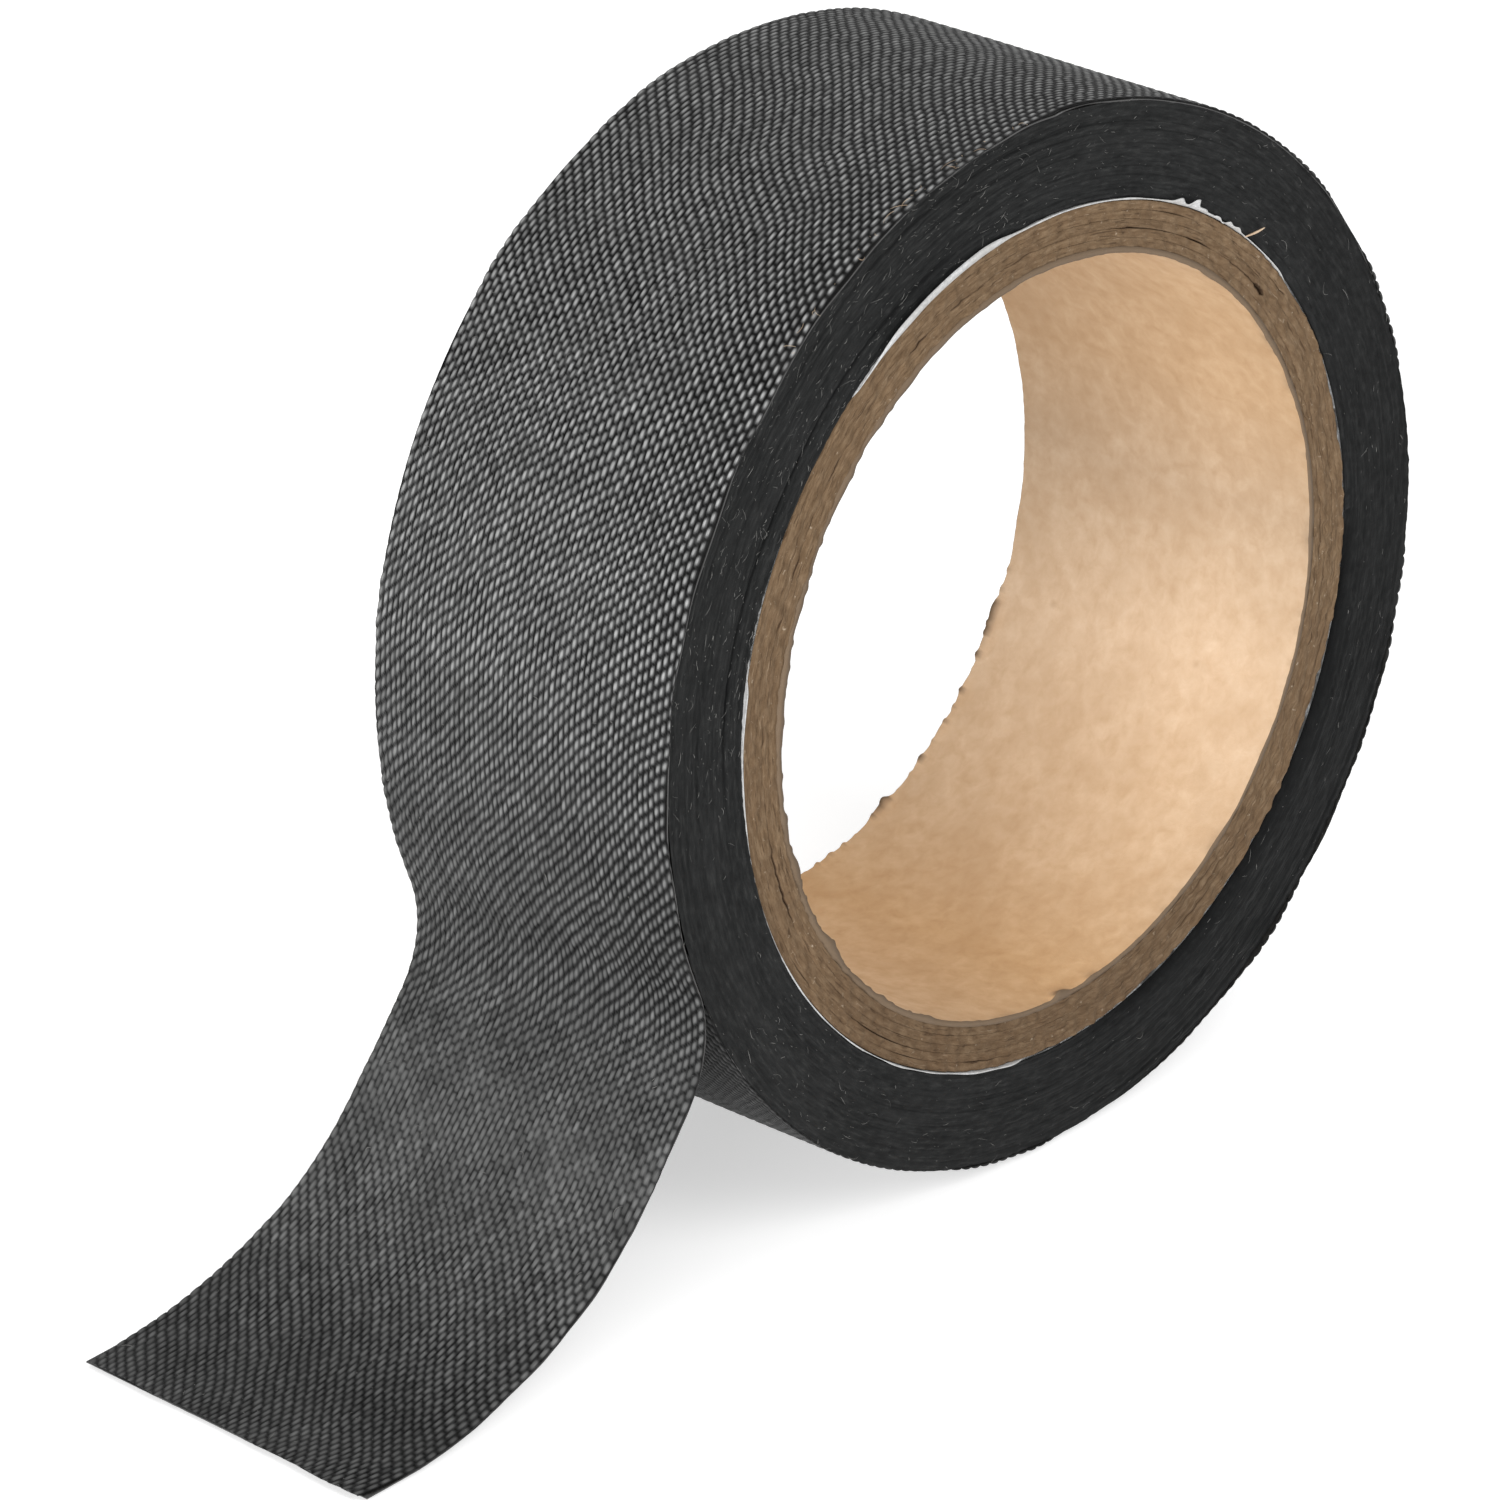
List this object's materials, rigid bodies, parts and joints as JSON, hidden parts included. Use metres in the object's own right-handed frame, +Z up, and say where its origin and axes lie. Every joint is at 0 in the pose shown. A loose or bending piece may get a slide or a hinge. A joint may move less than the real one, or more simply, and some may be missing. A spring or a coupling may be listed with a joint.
{
  "type": "cloth tape roll",
  "caption": "Roll of black woven cloth tape on a layered paperboard core, standing on its rim, with a free tail that peels, curls and follows the roll round.",
  "frame": {"origin": "centre of the core's bore, on the roll's axis at mid width", "axes": "+Y along the roll's axis, +Z up as the roll stands on its rim, and the free tail leaves towards -X"},
  "size_m": [0.0987, 0.0254, 0.0718],
  "materials": {
    "kraft_liner": "smooth kraft paper",
    "core_board": "cut board edge",
    "white_ply": "matte paper",
    "wound_edge": "cut edge of cloth and adhesive",
    "tape_cloth": "coated woven cloth with a low sheen",
    "tape_adhesive": "tacky rubber adhesive"
  },
  "bodies": {
    "spool": {"core_liner": "kraft_liner", "core_ply_1": "core_board", "core_ply_2": "core_board", "core_ply_3": "core_board", "core_ply_4": "core_board", "core_ply_5": "core_board", "core_outer_ply": "white_ply", "wound_tape": "wound_edge"},
    "outer_turn": {"outer_turn_cloth": "tape_cloth", "outer_turn_adhesive": "tape_adhesive", "tail_root_cloth": "tape_cloth", "tail_root_adhesive": "tape_adhesive"},
    "tail_1": {"tail_1_cloth": "tape_cloth", "tail_1_adhesive": "tape_adhesive"},
    "tail_2": {"tail_2_cloth": "tape_cloth", "tail_2_adhesive": "tape_adhesive"},
    "tail_3": {"tail_3_cloth": "tape_cloth", "tail_3_adhesive": "tape_adhesive"},
    "tail_4": {"tail_4_cloth": "tape_cloth", "tail_4_adhesive": "tape_adhesive"},
    "tail_5": {"tail_5_cloth": "tape_cloth", "tail_5_adhesive": "tape_adhesive"}
  },
  "joints": [
    {"name": "unroll", "type": "hinge", "parent": "spool", "child": "outer_turn", "pos_m": [0, 0, 0], "axis": [0, 1, 0], "continuous": true},
    {"name": "tail_peel", "type": "hinge", "parent": "outer_turn", "child": "tail_1", "pos_m": [-0.03344, 0, -0.0182], "axis": [0, 1, 0], "range_deg": [-38, 14]},
    {"name": "tail_curl_2", "type": "hinge", "parent": "tail_1", "child": "tail_2", "pos_m": [-0.03759, 0, -0.02404], "axis": [0, 1, 0], "range_deg": [-44, 17]},
    {"name": "tail_curl_3", "type": "hinge", "parent": "tail_2", "child": "tail_3", "pos_m": [-0.04256, 0, -0.02923], "axis": [0, 1, 0], "range_deg": [-27, 10]},
    {"name": "tail_curl_4", "type": "hinge", "parent": "tail_3", "child": "tail_4", "pos_m": [-0.04875, 0, -0.03287], "axis": [0, 1, 0], "range_deg": [-29, 11]},
    {"name": "tail_curl_5", "type": "hinge", "parent": "tail_4", "child": "tail_5", "pos_m": [-0.05562, 0, -0.03497], "axis": [0, 1, 0], "range_deg": [-27, 10]}
  ],
  "couplings": [
    {"joint": "tail_curl_2", "follows": "tail_peel", "ratio": 1.15},
    {"joint": "tail_curl_3", "follows": "tail_peel", "ratio": 0.7},
    {"joint": "tail_curl_4", "follows": "tail_peel", "ratio": 0.75},
    {"joint": "tail_curl_5", "follows": "tail_peel", "ratio": 0.7}
  ]
}
